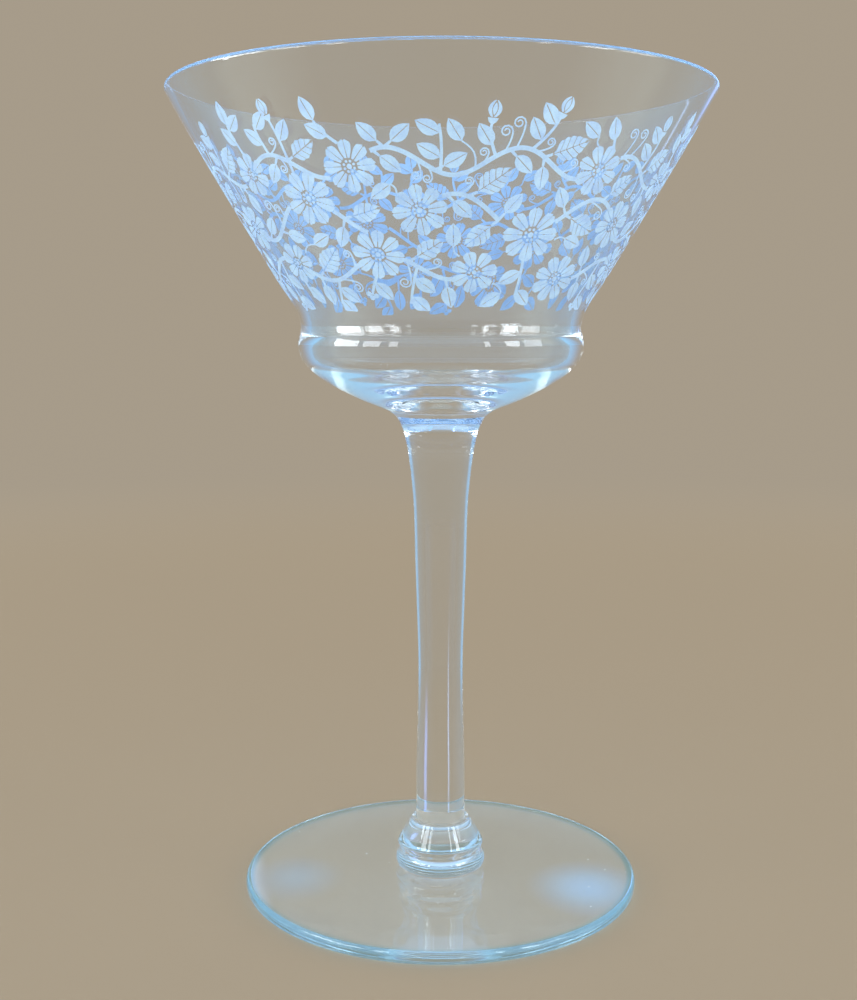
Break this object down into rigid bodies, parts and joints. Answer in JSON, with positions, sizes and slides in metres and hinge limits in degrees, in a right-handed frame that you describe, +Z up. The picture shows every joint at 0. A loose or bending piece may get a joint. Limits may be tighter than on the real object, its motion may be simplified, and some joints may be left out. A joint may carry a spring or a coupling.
{
  "type": "sherbet glass",
  "caption": "Stemmed sherbet glass with a flaring conical bowl on a rounded cup, a slim drawn stem with knops at its base and a flat round foot.",
  "frame": {"origin": "centre of the foot's underside, on the surface that the glass stands on", "axes": "+Z up along the glass's axis, from the foot to the rim; the glass is round about Z, so X and Y are free"},
  "size_m": [0.1012, 0.1012, 0.1524],
  "materials": {
    "bowl_glass": "clear and polished, with a frosted band round the cone",
    "wafer_glass": "clear, fire-polished",
    "stem_glass": "clear, fire-polished",
    "knop_glass": "clear, fire-polished",
    "foot_glass": "clear, fire-polished, lightly worn underneath"
  },
  "bodies": {
    "root": {"bowl": "bowl_glass", "joining_wafer": "wafer_glass", "stem": "stem_glass", "upper_knop": "knop_glass", "lower_knop": "knop_glass", "foot": "foot_glass"}
  },
  "joints": []
}
